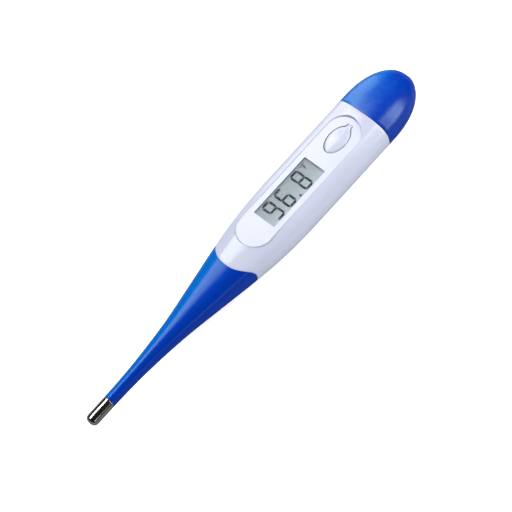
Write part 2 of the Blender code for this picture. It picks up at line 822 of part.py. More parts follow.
def main():
    remove_all_objects()
    build_housing()
    build_front_panel()
    build_display_window()
    build_power_button()
    build_battery_cover()
    build_seal_ring()
    build_probe_root()
    for number in range(1, len(BEND_X)):
        build_probe_link(number)
    build_probe_tip()
    build_steel_tip()
    build_sensor()
    build_leads()
    build_chassis()
    build_board()
    build_board_screws()
    build_display()
    build_controller()
    build_chip("chip_resistor", CHIP_Y, ceramic())
    build_chip("chip_capacitor", -CHIP_Y, black_epoxy())
    build_switch()
    build_buzzer()
    build_battery()
    build_contacts()


main()
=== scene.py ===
"""The looks of a digital thermometer with a flexible tip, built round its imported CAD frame.

The thermometer lies along X on the floor, its display up. Lengths are in millimetres, in the frame's
own axes, and become metres where a mesh, a light or a camera is made.
"""

import json
import math

import bmesh
import bpy
from mathutils import Matrix, Vector


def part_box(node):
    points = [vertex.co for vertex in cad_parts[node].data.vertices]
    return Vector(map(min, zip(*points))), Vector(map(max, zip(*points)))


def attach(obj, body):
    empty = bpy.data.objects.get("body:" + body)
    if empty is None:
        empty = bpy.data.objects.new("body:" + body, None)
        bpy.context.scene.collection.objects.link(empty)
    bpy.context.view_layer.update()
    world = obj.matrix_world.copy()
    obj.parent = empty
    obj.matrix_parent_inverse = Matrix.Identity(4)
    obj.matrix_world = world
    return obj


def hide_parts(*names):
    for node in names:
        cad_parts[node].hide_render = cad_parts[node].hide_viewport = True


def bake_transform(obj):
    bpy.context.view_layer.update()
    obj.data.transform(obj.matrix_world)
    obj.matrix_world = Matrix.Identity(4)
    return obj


MM = 0.001

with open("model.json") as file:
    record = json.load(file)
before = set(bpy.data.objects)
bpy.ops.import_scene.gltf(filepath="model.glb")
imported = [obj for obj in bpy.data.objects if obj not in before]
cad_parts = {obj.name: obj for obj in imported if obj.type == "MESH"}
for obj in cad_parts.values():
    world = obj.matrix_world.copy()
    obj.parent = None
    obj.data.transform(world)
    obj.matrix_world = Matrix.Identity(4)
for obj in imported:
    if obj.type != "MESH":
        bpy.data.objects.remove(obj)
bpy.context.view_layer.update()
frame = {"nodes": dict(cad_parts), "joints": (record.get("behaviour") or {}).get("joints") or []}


def span(node):
    """Lowest and highest corner of a CAD node, in millimetres."""
    low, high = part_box(node)
    return low / MM, high / MM


# ---------------------------------------------------------------- places, read from the frame

HOUSING_HIGH = span("body_housing")[1]
PANEL_LOW, PANEL_HIGH = span("front_panel")
WINDOW_LOW, WINDOW_HIGH = span("display_window")
BUTTON_LOW, BUTTON_HIGH = span("power_button")
COVER_LOW, COVER_HIGH = span("battery_cover")
STEEL_LOW, STEEL_HIGH = span("steel_tip")
GLASS_LOW, GLASS_HIGH = span("lcd_front_glass")
CELL_LOW, CELL_HIGH = span("battery_cell")
NECK_END_X = HOUSING_HIGH.x
PANEL_X = (PANEL_LOW.x + PANEL_HIGH.x) / 2
PANEL_LENGTH = PANEL_HIGH.x - PANEL_LOW.x
PANEL_HALF = PANEL_HIGH.y
PANEL_TOP = PANEL_HIGH.z
WINDOW_X = (WINDOW_LOW.x + WINDOW_HIGH.x) / 2
TIP_X = STEEL_LOW.x
STEEL_MOUTH_X = STEEL_HIGH.x
STEEL_RADIUS = STEEL_HIGH.y
AXIS_Z = (STEEL_LOW.z + STEEL_HIGH.z) / 2
CAD_GAP = 0.3
WINDOW_LEFT = WINDOW_LOW.x - CAD_GAP
WINDOW_LENGTH = WINDOW_HIGH.x - WINDOW_LOW.x + 2 * CAD_GAP
WINDOW_HALF = WINDOW_HIGH.y + CAD_GAP
COVER_JOINT_X = COVER_LOW.x - CAD_GAP
END_X = COVER_HIGH.x
BENDS = {j["name"]: Vector(j["pos_m"]) / MM for j in frame["joints"] if j["name"].startswith("probe")}
HINGE_X = next(j for j in frame["joints"] if j["name"] == "button_press")["pos_m"][0] / MM

# ---------------------------------------------------------------- form, as in the CAD model

# Distance from the tip, half width, half height
FORM = (
    (0.0, 1.85, 1.85),
    (9.0, 1.86, 1.86),
    (16.0, 2.03, 2.0),
    (22.0, 2.38, 2.25),
    (32.5, 3.33, 2.8),
    (46.4, 5.4, 4.05),
    (58.9, 7.31, 5.25),
    (66.5, 8.27, 5.72),
    (74.0, 8.82, 6.03),
    (84.0, 9.03, 6.1),
    (114.0, 9.07, 6.1),
    (130.0, 9.07, 6.1),
)
BACK_SWELL = 0.04
ROUND_SECTION, BODY_SECTION = 2.0, 2.8
DOME_START_X, DOME = 49.0, 2.15
JOINT_SIDE_X, JOINT_TONGUE = -6.05, 3.8
WALL = 1.2
NECK_INSET, NECK_WALL, SHOULDER_X = 1.1, 0.7, 45.7
ROOF_Z, NECK_ROOF_Z = 10.1, 9.7
LEDGE = 0.7

# Fine detail that the CAD model leaves out
LIP = 0.09  # rounding of a moulded edge
SEAM = 0.03  # how far two closed pieces stand apart
BED_DROP = 0.15  # the panel's bed lies this far under the panel
GROOVE = 0.75  # how far the groove round the panel opens in 1.5 mm of height
SLOT = 0.24  # width of the slot round the button
BUTTON_CENTRE_X = 36.5
BUTTON_HALF_LENGTH, BUTTON_HALF_WIDTH = 4.55, 2.72
NECK_HALF = 0.65


def slope(k, column):
    if k in (0, len(FORM) - 1):
        return 0.0
    before = (FORM[k][column] - FORM[k - 1][column]) / (FORM[k][0] - FORM[k - 1][0])
    after = (FORM[k + 1][column] - FORM[k][column]) / (FORM[k + 1][0] - FORM[k][0])
    return 2 * before * after / (before + after) if before * after > 0 else 0.0


def form_at(x):
    """Half width and half height of the outside at x."""
    distance = min(max(x - FORM_START, FORM[0][0]), FORM[-1][0])
    k = next(i for i in range(1, len(FORM)) if distance <= FORM[i][0])
    start, end = FORM[k - 1], FORM[k]
    step = end[0] - start[0]
    t = (distance - start[0]) / step
    sizes = []
    for column in (1, 2):
        bend = slope(k - 1, column) * (t**3 - 2 * t**2 + t) + slope(k, column) * (t**3 - t**2)
        sizes.append(start[column] + (end[column] - start[column]) * (3 * t**2 - 2 * t**3) + step * bend)
    return sizes


FORM_START = -(FORM[-1][0] / 2)


def ease(value, low, high):
    t = min(max((value - low) / (high - low), 0.0), 1.0)
    return t * t * (3 - 2 * t)


def section_point(x, angle, inset=0.0, scale=1.0, roof=None):
    half_width, half_height = form_at(x)
    power = 2 / (ROUND_SECTION + (BODY_SECTION - ROUND_SECTION) * ease(x, -50.0, 0.0))
    across, up = math.cos(angle), math.sin(angle)
    y = (half_width * scale - inset) * math.copysign(abs(across) ** power, across)
    rise = (half_height * scale - inset) * math.copysign(abs(up) ** power, up)
    if up < 0:
        rise *= 1 + BACK_SWELL * ease(x, -20.0, 5.0)
    z = max(AXIS_Z + rise, inset)
    return Vector((x, y, z if roof is None else min(z, roof)))


def joint_x(angle):
    return JOINT_SIDE_X - JOINT_TONGUE * math.sin(angle) ** 2


def dome_scale(x):
    share = min(max((x - DOME_START_X) / (END_X - DOME_START_X), 0.0), 1.0)
    return (1 - share**DOME) ** (1 / DOME)


def angles(count):
    return [2 * math.pi * (k + 0.5) / count for k in range(count)]


def front_angles(front, back, reach=0.74):
    """Angles that step evenly across the front face, and evenly round the sides and back."""
    made = []
    for k in range(front):
        share = reach * (1 - 2 * k / (front - 1))
        made.append(math.acos(math.copysign(abs(share) ** (BODY_SECTION / 2), share)))
    first, last = made[0], made[-1]
    for k in range(1, back):
        made.append(last + (2 * math.pi + first - last) * k / back)
    return made


# ---------------------------------------------------------------- meshes


def add_piece(name, mesh, look, sharp=38.0):
    mesh.materials.append(look)
    mesh.shade_smooth()
    mesh.set_sharp_from_angle(angle=math.radians(sharp))
    piece = bpy.data.objects.new(name, mesh)
    bpy.context.scene.collection.objects.link(piece)
    return piece


def loft(name, rings, look, tube=False, sharp=38.0):
    """Joins rings of points with faces; a tube's last ring joins its first, else both ends close."""
    shape = bmesh.new()
    made = [[shape.verts.new(Vector(p) * MM) for p in ring] for ring in rings]
    pairs = list(zip(made, made[1:]))
    if tube:
        pairs.append((made[-1], made[0]))
    else:
        for ring in (made[0], made[-1]):
            bmesh.ops.poke(shape, faces=[shape.faces.new(ring)])
    for first, second in pairs:
        for k in range(len(first)):
            after = (k + 1) % len(first)
            shape.faces.new((first[k], first[after], second[after], second[k]))
    bmesh.ops.recalc_face_normals(shape, faces=shape.faces)
    mesh = bpy.data.meshes.new(name)
    shape.to_mesh(mesh)
    shape.free()
    return add_piece(name, mesh, look, sharp)


def at_height(outline, z):
    return [Vector((x, y, z)) for x, y in outline]


def plate(name, outline, bottom, top, look):
    return loft(name, [at_height(outline, bottom), at_height(outline, top)], look)


def apply_modifiers(piece):
    graph = bpy.context.evaluated_depsgraph_get()
    done = bpy.data.meshes.new_from_object(piece.evaluated_get(graph))
    piece.modifiers.clear()
    piece.data = done
    return piece


def cut(piece, tool):
    change = piece.modifiers.new("cut", "BOOLEAN")
    change.operation = "DIFFERENCE"
    change.object = tool
    apply_modifiers(piece)
    bpy.data.objects.remove(tool, do_unlink=True)


def soften(piece, width, segments=2, limit=35.0):
    bevel = piece.modifiers.new("soften", "BEVEL")
    bevel.width = width * MM
    bevel.segments = segments
    bevel.limit_method = "ANGLE"
    bevel.angle_limit = math.radians(limit)
    bevel.harden_normals = True
    return apply_modifiers(piece)


def circle(x, y, radius, sides=48):
    return [(x + radius * math.cos(a), y + radius * math.sin(a)) for a in angles(sides)]


def stadium(x, length, half_width, per_end=40):
    straight = length / 2 - half_width
    points = []
    for side, start in ((1, -math.pi / 2), (-1, math.pi / 2)):
        for k in range(per_end + 1):
            a = start + math.pi * k / per_end
            points.append((x + side * straight + half_width * math.cos(a), half_width * math.sin(a)))
    return points


def rounded_rectangle(x, length, half_width, radius=0.25, per_corner=6, y=0.0):
    points = []
    for quarter, (sx, sy) in enumerate(((1, 1), (-1, 1), (-1, -1), (1, -1))):
        for k in range(per_corner + 1):
            a = math.pi / 2 * (quarter + k / per_corner)
            cx = x + sx * (length / 2 - radius)
            cy = y + sy * (half_width - radius)
            points.append((cx + radius * math.cos(a), cy + radius * math.sin(a)))
    return points


def button_outline(grow=0.0, neck_grow=0.0, sides=96):
    """An oval with a narrow neck on its hinge."""
    neck_half = NECK_HALF + grow
    length, width = BUTTON_HALF_LENGTH + grow, BUTTON_HALF_WIDTH + grow
    points = []
    for k in range(sides + 1):
        a = 2 * math.pi * k / sides
        y = width * math.sin(a)
        if math.cos(a) > 0 and abs(y) < neck_half + 0.1:
            continue
        points.append((BUTTON_CENTRE_X + length * math.cos(a), y))
    end_x = HINGE_X + neck_grow
    neck = []
    for side in (-1, 1):
        near = points[0] if side > 0 else points[-1]
        run = [(end_x, side * neck_half), ((end_x + near[0]) / 2 + 0.2, side * neck_half)]
        neck.append(run if side > 0 else run[::-1])
    return neck[0] + neck[1] + points


# ---------------------------------------------------------------- materials


class Look:
    """A Principled material and short ways to add nodes to it."""

    def __init__(self, name, roughness, metallic=0.0, **sockets):
        self.material = bpy.data.materials.new(name)
        self.material.use_nodes = True
        self.tree = self.material.node_tree
        self.shader = self.tree.nodes["Principled BSDF"]
        self.shader.inputs["Roughness"].default_value = roughness
        self.shader.inputs["Metallic"].default_value = metallic
        for socket, value in sockets.items():
            self.shader.inputs[socket.replace("_", " ")].default_value = value
        self.coordinates = self.add("ShaderNodeTexCoord")
        self.place = self.coordinates.outputs["Object"]

    def add(self, kind, **inputs):
        node = self.tree.nodes.new(kind)
        for socket, value in inputs.items():
            self.feed(node.inputs[socket.replace("_", " ")], value)
        return node

    def feed(self, socket, value):
        if isinstance(value, bpy.types.NodeSocket):
            self.tree.links.new(value, socket)
        else:
            socket.default_value = value

    def set(self, socket, value):
        self.feed(self.shader.inputs[socket], value)

    def stretched(self, x=1.0, y=1.0, z=1.0):
        node = self.add("ShaderNodeMapping", Vector=self.place)
        node.inputs["Scale"].default_value = (x, y, z)
        return node.outputs["Vector"]

    def noise(self, scale, detail=3.0, roughness=0.5, place=None):
        vector = self.place if place is None else place
        node = self.add("ShaderNodeTexNoise", Vector=vector, Scale=scale, Detail=detail, Roughness=roughness)
        return node.outputs["Fac"]

    def ramp(self, value, *stops):
        """A colour ramp. Each stop is a place and a colour, or a place and a number."""
        node = self.add("ShaderNodeValToRGB", Fac=value)
        band = node.color_ramp
        while len(band.elements) < len(stops):
            band.elements.new(0.5)
        for element, (position, colour) in zip(band.elements, stops):
            element.position = position
            element.color = (*colour, 1.0) if hasattr(colour, "__len__") else (colour, colour, colour, 1.0)
        return node.outputs["Color"]

    def bump(self, height, distance, strength=1.0, before=None):
        node = self.add("ShaderNodeBump", Height=height, Distance=distance * MM, Strength=strength)
        if before is not None:
            self.tree.links.new(before, node.inputs["Normal"])
        self.tree.links.new(node.outputs["Normal"], self.shader.inputs["Normal"])
        return node.outputs["Normal"]


def srgb(*values):
    """A colour from 0 to 255 values, as light."""
    return tuple(v / 255 / 12.92 if v <= 10 else ((v / 255 + 0.055) / 1.055) ** 2.4 for v in values)


def moulded(name, dark, light, roughness, grain=900.0, depth=0.004, cloud=120.0, **sockets):
    """Moulded plastic or rubber: faint clouding of its colour, an uneven gloss and a fine skin."""
    look = Look(name, roughness, **sockets)
    look.set("Base Color", look.ramp(look.noise(cloud, 2.0), (0.3, dark), (0.7, light)))
    gloss = look.noise(cloud * 4, 4.0)
    look.set("Roughness", look.ramp(gloss, (0.3, roughness * 0.85), (0.7, roughness * 1.15)))
    look.bump(look.noise(grain, 3.0), depth)
    return look.material


# Painted light and shade on the blue plastic: its colour by how far the surface faces up and back towards the
# lamps.
PAINTED_LIGHT_BLUES = (
    (0.25, srgb(0, 50, 158)),
    (0.55, srgb(0, 56, 172)),
    (0.64, srgb(0, 74, 184)),
    (0.76, srgb(0, 102, 198)),
)


def blue_with_painted_light(name, roughness, grain, depth, **sockets):
    """Blue with painted light and shade: lighter where it faces up and back towards the lamps, darker where
    it faces down and forward, under a fine skin.
    """
    look = Look(name, roughness, Specular_Tint=(0.7, 0.95, 1.0, 1.0), **sockets)
    facing = look.add("ShaderNodeVectorMath", Vector=look.coordinates.outputs["Normal"])
    facing.operation = "DOT_PRODUCT"
    facing.inputs[1].default_value = (0.0, 0.8, 0.6)
    clouded = look.add("ShaderNodeMath", Value=look.noise(120.0, 2.0))
    clouded.operation = "MULTIPLY_ADD"
    clouded.inputs[1].default_value = 0.06
    look.feed(clouded.inputs[2], facing.outputs["Value"])
    # Painted light and shade: the base colour follows the direction the surface faces.
    look.set("Base Color", look.ramp(clouded.outputs[0], *PAINTED_LIGHT_BLUES))
    look.set("Roughness", look.ramp(look.noise(480.0, 4.0), (0.3, roughness * 0.85), (0.7, roughness * 1.15)))
    look.bump(look.noise(grain, 3.0), depth)
    return look.material


WHITE = moulded("white_abs", srgb(198, 202, 223), srgb(201, 205, 225), 0.15, depth=0.001)
BLUE_COVER = blue_with_painted_light("blue_abs", 0.27, 900.0, 0.002)
BLUE_PROBE = blue_with_painted_light("blue_soft", 0.2, 1400.0, 0.003, Specular_IOR_Level=0.3)
CHASSIS = moulded("chassis_abs", srgb(206, 208, 212), srgb(214, 216, 219), 0.5)
SEAL = moulded("silicone", srgb(70, 72, 76), srgb(82, 84, 88), 0.6)
BLACK = moulded("black_plastic", srgb(22, 22, 24), srgb(32, 32, 34), 0.45)
EPOXY = moulded("epoxy", srgb(12, 12, 13), srgb(20, 20, 22), 0.22, grain=300.0, depth=0.02)
CERAMIC = moulded("ceramic", srgb(222, 216, 202), srgb(236, 231, 220), 0.55)
LEAD = moulded("lead_enamel", srgb(150, 42, 20), srgb(176, 58, 26), 0.35)
RUBBER = moulded("zebra_rubber", srgb(24, 24, 27), srgb(48, 48, 52), 0.7, cloud=1500.0)


def polished_steel():
    """Drawn and polished steel: fine lines round the tip, slightly uneven gloss."""
    look = Look("tip_steel", 0.12, 1.0)
    lines = look.noise(1.0, 3.0, place=look.stretched(9000.0, 260.0, 260.0))
    dark, light = srgb(196, 193, 190), srgb(214, 211, 208)
    look.set("Base Color", look.ramp(look.noise(400.0), (0.3, dark), (0.7, light)))
    look.set("Roughness", look.ramp(lines, (0.3, 0.09), (0.7, 0.2)))
    look.bump(lines, 0.0015)
    return look.material


def plated(name, dark, light, roughness):
    look = Look(name, roughness, 1.0)
    look.set("Base Color", look.ramp(look.noise(700.0, 4.0), (0.35, dark), (0.65, light)))
    scratches = look.noise(1.0, 4.0, place=look.stretched(300.0, 5000.0, 300.0))
    look.set("Roughness", look.ramp(scratches, (0.3, roughness * 0.7), (0.7, roughness * 1.5)))
    look.bump(scratches, 0.002)
    return look.material


def clear_window():
    look = Look("window_clear", 0.03, Transmission_Weight=1.0, IOR=1.1)
    look.set("Base Color", look.ramp(look.noise(200.0), (0.3, (0.97, 0.98, 0.98)), (0.7, (1.0, 1.0, 1.0))))
    look.set("Roughness", look.ramp(look.noise(900.0), (0.3, 0.015), (0.7, 0.05)))
    return look.material


def display_face():
    """The display's face: a grey polariser with a painted reflection that makes it paler towards -Y, and a
    fine speckle.
    """
    look = Look("display_face", 0.5, Specular_IOR_Level=0.1)
    across = look.add("ShaderNodeSeparateXYZ", Vector=look.place)
    clouded = look.add("ShaderNodeMath", Value=look.noise(130.0, 1.0))
    clouded.operation = "MULTIPLY_ADD"
    clouded.inputs[1].default_value = 0.0012
    look.feed(clouded.inputs[2], across.outputs["Y"])
    # Painted reflection: the face's colour grows paler towards -Y.
    spread = look.add("ShaderNodeMapRange", Value=clouded.outputs[0])
    spread.inputs["From Min"].default_value = -0.0030
    spread.inputs["From Max"].default_value = 0.0034
    near, middle, far = srgb(178, 188, 197), srgb(154, 165, 171), srgb(149, 159, 164)
    painted_reflection = look.ramp(spread.outputs["Result"], (0.0, near), (0.45, middle), (1.0, far))
    speckle = look.ramp(look.noise(6000.0, 2.0), (0.3, 0.93), (0.7, 1.0))
    mixed = look.add("ShaderNodeMix")
    mixed.data_type = "RGBA"
    mixed.blend_type = "MULTIPLY"
    mixed.inputs["Factor"].default_value = 1.0
    look.feed(mixed.inputs[6], painted_reflection)
    look.feed(mixed.inputs[7], speckle)
    look.set("Base Color", mixed.outputs[2])
    look.bump(look.noise(5000.0, 2.0), 0.002)
    return look.material


def display_ink():
    look = Look("display_ink", 0.5, Specular_IOR_Level=0.1)
    dark, light = srgb(34, 44, 52), srgb(46, 56, 64)
    look.set("Base Color", look.ramp(look.noise(1200.0, 2.0), (0.3, dark), (0.7, light)))
    return look.material


def board():
    """Green solder mask with tracks running under it."""
    look = Look("board_mask", 0.35)
    tracks = look.add("ShaderNodeTexBrick", Vector=look.place, Scale=260.0)
    tracks.inputs["Color1"].default_value = (*srgb(12, 96, 52), 1.0)
    tracks.inputs["Color2"].default_value = (*srgb(16, 108, 58), 1.0)
    tracks.inputs["Mortar"].default_value = (*srgb(38, 140, 78), 1.0)
    tracks.inputs["Mortar Size"].default_value = 0.06
    look.set("Base Color", tracks.outputs["Color"])
    look.set("Roughness", look.ramp(look.noise(700.0), (0.3, 0.28), (0.7, 0.42)))
    look.bump(tracks.outputs["Fac"], 0.02)
    return look.material


STEEL = polished_steel()
SPRING = plated("spring_plating", srgb(196, 190, 176), srgb(214, 208, 194), 0.25)
NICKEL = plated("cell_nickel", srgb(204, 204, 204), srgb(222, 222, 220), 0.18)
BRASS = plated("buzzer_brass", srgb(196, 160, 84), srgb(214, 180, 104), 0.3)
MIRROR_FILM = plated("reflector_film", srgb(170, 178, 174), srgb(186, 192, 188), 0.35)
CLEAR = clear_window()
FACE = display_face()
INK = display_ink()
BOARD = board()

# ---------------------------------------------------------------- housing


def bed_cutter():
    """The panel's bed: upright walls at -Y, and a widening groove along +Y and round the ends."""
    outline = stadium(PANEL_X, PANEL_LENGTH, PANEL_HALF, 64)
    straight = PANEL_LENGTH / 2 - PANEL_HALF
    outwards = []
    for x, y in outline:
        beyond = math.copysign(max(abs(x - PANEL_X) - straight, 0.0), x - PANEL_X)
        outwards.append(Vector((beyond, y)).normalized())
    rings = []
    for z, flare in ((PANEL_LOW.z - BED_DROP, 0.0), (PANEL_TOP - 0.5, 0.0), (PANEL_TOP + 1.0, GROOVE)):
        ring = []
        for (x, y), out in zip(outline, outwards):
            reach = SEAM / 2 + flare * ease(out.y, -0.3, 0.5)
            ring.append(Vector((x + out.x * reach, y + out.y * reach, z)))
        rings.append(ring)
    return loft("bed", rings, WHITE)


def housing_xs():
    """Stations from near the probe to the cover's joint."""
    start, end, step = PANEL_LOW.x - 0.6, PANEL_HIGH.x + 0.6, 0.5
    count = round((end - start) / step)
    return [start + (end - start) * k / count for k in range(count + 1)]


def build_housing():
    around = front_angles(118, 56)
    stations = housing_xs()
    rings = []
    for along, inset in ((0.0, 3 * LIP), (0.0, LIP), (0.3 * LIP, 0.3 * LIP), (LIP, 0.0)):
        rings.append([section_point(joint_x(a) + SEAM / 2 + along, a, inset) for a in around])
    for share in (0.12, 0.25, 0.4, 0.55, 0.7, 0.85):
        ring = []
        for a in around:
            start = joint_x(a) + LIP
            ring.append(section_point(start + (stations[0] - start) * share, a))
        rings.append(ring)
    for x in stations:
        rings.append([section_point(x, a) for a in around])
    for x in (45.2, 46.0):
        rings.append([section_point(x, a) for a in around])
    edge = COVER_JOINT_X - SEAM / 2
    for back, inset in ((LIP, 0.0), (0.3 * LIP, 0.3 * LIP), (0.0, LIP), (0.0, NECK_INSET)):
        rings.append([section_point(edge - back, a, inset) for a in around])
    rings.append([section_point(NECK_END_X - 0.15, a, NECK_INSET, dome_scale(NECK_END_X)) for a in around])
    rings.append([section_point(NECK_END_X, a, NECK_INSET + 0.15, dome_scale(NECK_END_X)) for a in around])
    inner = NECK_INSET + NECK_WALL
    rings.append([section_point(NECK_END_X, a, inner, dome_scale(NECK_END_X), NECK_ROOF_Z) for a in around])
    rings.append([section_point(SHOULDER_X, a, inner, 1.0, NECK_ROOF_Z) for a in around])
    for x in (SHOULDER_X, 30.0, 15.0, 5.0, 0.0):
        rings.append([section_point(x, a, WALL, 1.0, ROOF_Z) for a in around])
    for share in (0.5, 0.0):
        rings.append([section_point(joint_x(a) * (1 - share) + SEAM, a, WALL, 1.0, ROOF_Z) for a in around])
    housing = loft("housing_shell", rings, WHITE, tube=True, sharp=50.0)
    cut(housing, bed_cutter())
    hole = stadium(PANEL_X, PANEL_LENGTH - 2 * LEDGE, PANEL_HALF - LEDGE)
    cut(housing, plate("hole", hole, ROOF_Z - 1.7, PANEL_TOP + 2, WHITE))
    housing.data.shade_smooth()
    housing.data.set_sharp_from_angle(angle=math.radians(50.0))
    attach(housing, "housing")
    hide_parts("body_housing")


def build_panel():
    outline = stadium(PANEL_X, PANEL_LENGTH, PANEL_HALF)
    panel = plate("panel_inlay", outline, PANEL_LOW.z, PANEL_TOP, WHITE)
    window = rounded_rectangle(WINDOW_X, WINDOW_LENGTH, WINDOW_HALF)
    cut(panel, plate("window", window, PANEL_LOW.z - 1, PANEL_TOP + 1, WHITE))
    cut(panel, plate("slot", button_outline(SLOT, SEAM), PANEL_LOW.z - 1, PANEL_TOP + 1, WHITE))
    soften(panel, 0.07)
    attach(panel, "housing")
    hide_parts("front_panel")


def build_window():
    outline = rounded_rectangle(WINDOW_X, WINDOW_LENGTH - 2 * SEAM, WINDOW_HALF - SEAM)
    lens = plate("window_lens", outline, WINDOW_LOW.z, PANEL_TOP - 0.03, CLEAR)
    soften(lens, 0.05)
    lens.visible_shadow = False
    lens.visible_diffuse = False
    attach(lens, "housing")
    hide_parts("display_window")


def build_button():
    """A shallow dome with rounded edges on a living hinge."""
    outline = button_outline()
    rise = BUTTON_HIGH.z - PANEL_TOP
    rings = [at_height(outline, BUTTON_LOW.z), at_height(outline, PANEL_TOP - 0.12)]
    for step in range(1, 19):
        size = 1 - 0.985 * step / 18
        edge = 0.12 * min(step / 2, 1.0)
        height = PANEL_TOP - 0.12 + edge + rise * (1 - size**2) ** 0.8
        shrunk = [(BUTTON_CENTRE_X + (x - BUTTON_CENTRE_X) * size, y * size) for x, y in outline]
        rings.append(at_height(shrunk, min(height, BUTTON_HIGH.z)))
    button = loft("button_cap", rings, WHITE, sharp=60.0)
    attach(button, "button")
    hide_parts("power_button")


def build_cover():
    """The battery cover: a rounded cup with a softened lip."""
    around = angles(128)
    mouth = COVER_JOINT_X + SEAM / 2
    depth = END_X - COVER_JOINT_X
    rings = []
    for step in range(1, 40):
        x = END_X - depth * (1 - math.cos(math.pi / 2 * step / 40)) * 0.985 - 0.002
        rings.append([section_point(x, a, 0.0, dome_scale(x)) for a in around])
    for along, inset in ((LIP, 0.0), (0.3 * LIP, 0.3 * LIP), (0.0, LIP), (0.0, NECK_INSET - CAD_GAP)):
        rings.append([section_point(mouth + along, a, inset, dome_scale(mouth + along)) for a in around])
    seat_x = NECK_END_X + 1.0
    rings.append([section_point(seat_x, a, NECK_INSET - CAD_GAP, dome_scale(seat_x)) for a in around])
    rings.append([section_point(seat_x, a, WALL, dome_scale(seat_x)) for a in around])
    for share in (0.5, 0.6, 0.7, 0.78, 0.85, 0.9):
        x = COVER_JOINT_X + depth * share
        rings.append([section_point(x, a, WALL, dome_scale(x)) for a in around])
    cover = loft("cover_shell", rings, BLUE_COVER, sharp=45.0)
    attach(cover, "cover")
    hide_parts("battery_cover")


# ---------------------------------------------------------------- probe

SKIN_SIDES = 72


def skin_ring(x):
    return [section_point(x, a) for a in angles(SKIN_SIDES)]


def skin_rings(start, end, step=0.5):
    count = max(round(abs(end - start) / step), 2)
    return [skin_ring(start + (end - start) * k / count) for k in range(count + 1)]


def build_probe_skins():
    """The soft probe's skin, one length for each bend, cut half way between the bends."""
    names = ("probe_bend_up", "probe_bend_side", "probe_bend_up_far", "probe_bend_side_far")
    nodes = ("flex_probe_link_1", "flex_probe_link_2", "flex_probe_link_3", "flex_probe_tip")
    xs = [BENDS[name].x for name in names]
    pitch = xs[0] - xs[1]
    for number, x in enumerate(xs):
        rings = skin_rings(x + pitch / 2, x - pitch / 2, 0.25)
        skin = loft(f"probe_skin_{number + 1}", rings, BLUE_PROBE, sharp=50.0)
        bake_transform(skin)
        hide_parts(nodes[number])
    build_probe_root_skin(xs[0] + pitch / 2)
    build_probe_tip_skin(xs[-1] - pitch / 2)


def build_probe_root_skin(start_x):
    """From the first bend to the plug inside the housing."""
    around = angles(SKIN_SIDES)
    rings = []
    for share in [k / 60 for k in range(60)] + [0.99]:
        ring = []
        for a in around:
            end = joint_x(a) - SEAM / 2 - LIP
            ring.append(section_point(start_x + (end - start_x) * share, a))
        rings.append(ring)
    for along, inset in ((LIP, 0.0), (0.3 * LIP, 0.3 * LIP), (0.0, LIP), (0.0, 1.5)):
        rings.append([section_point(joint_x(a) - SEAM / 2 - along, a, inset) for a in around])
    plug_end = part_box("flex_probe_root")[1].x / MM
    rings.append([section_point(plug_end, a, 1.5, 1.0, ROOF_Z - CAD_GAP) for a in around])
    skin = loft("probe_skin_root", rings, BLUE_PROBE, sharp=50.0)
    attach(skin, "housing")
    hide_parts("flex_probe_root")


def build_probe_tip_skin(start_x):
    """From the last bend to the mouth of the steel tip, with a spigot inside it."""
    around = angles(SKIN_SIDES)
    edge = STEEL_MOUTH_X + SEAM
    rings = skin_rings(start_x, edge + LIP, 0.4)
    rings.append([section_point(edge, a, LIP) for a in around])
    rings.append([section_point(edge, a, 0.55) for a in around])
    rings.append([section_point(edge - 3.0, a, 0.55) for a in around])
    skin = loft("probe_skin_tip", rings, BLUE_PROBE, sharp=50.0)
    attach(skin, "probe_tip")


def build_steel_tip():
    """A drawn steel cap: a rounded nose, a straight side and a rolled mouth."""
    nose = 1.6
    outer = []
    for step in range(1, 17):
        share = math.cos(math.pi / 2 * step / 16)
        outer.append((TIP_X + nose * (1 - share), STEEL_RADIUS * (1 - share**2.4) ** (1 / 2.4)))
    roll = 0.07
    outer += [(STEEL_MOUTH_X - back, STEEL_RADIUS) for back in (4.0, 2 * roll, roll)]
    outer += [(STEEL_MOUTH_X - roll / 3, STEEL_RADIUS - roll / 3), (STEEL_MOUTH_X, STEEL_RADIUS - roll)]
    outer += [(STEEL_MOUTH_X, STEEL_RADIUS - 0.25), (TIP_X + nose, STEEL_RADIUS - 0.25), (TIP_X + 0.4, 0.7)]
    rings = []
    for x, radius in outer:
        ring = [(x, radius * math.cos(a), AXIS_Z + radius * math.sin(a)) for a in angles(SKIN_SIDES)]
        rings.append([Vector(p) for p in ring])
    tip = loft("steel_cap", rings, STEEL, sharp=40.0)
    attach(tip, "probe_tip")
    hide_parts("steel_tip")


# ---------------------------------------------------------------- display

DIGIT_WIDTH, DIGIT_HEIGHT, STROKE = 3.3, 6.55, 0.72
DIGIT_LEFTS = tuple(WINDOW_LEFT + offset for offset in (2.1, 6.9, 13.6))
DIGIT_BOTTOM = -3.28
FACE_TOP = PANEL_LOW.z - 0.05
FIGURES = ("abcdfg", "acdefg", "abcdefg")
INK_THICKNESS = 0.02


def bar(x0, y0, x1, y1, width):
    """A stroke of the display, with mitred ends."""
    along = Vector((x1 - x0, y1 - y0)).normalized()
    across = Vector((-along.y, along.x)) * width / 2
    tip = along * width / 2
    start, end = Vector((x0, y0)), Vector((x1, y1))
    corners = (start, start + tip - across, end - tip - across, end, end - tip + across, start + tip + across)
    return [(c.x, c.y) for c in corners]


def figure_bars(left, bottom, segments):
    right, top = left + DIGIT_WIDTH, bottom + DIGIT_HEIGHT
    middle = (bottom + top) / 2
    inner = STROKE / 2
    gap = 0.05
    l, r, b, t = left + inner, right - inner, bottom + inner, top - inner
    lines = {
        "a": (l + gap, t, r - gap, t),
        "b": (r, t - gap, r, middle + gap),
        "c": (r, middle - gap, r, b + gap),
        "d": (l + gap, b, r - gap, b),
        "e": (l, middle - gap, l, b + gap),
        "f": (l, t - gap, l, middle + gap),
        "g": (l + gap, middle, r - gap, middle),
    }
    return [bar(*lines[s], STROKE) for s in segments]


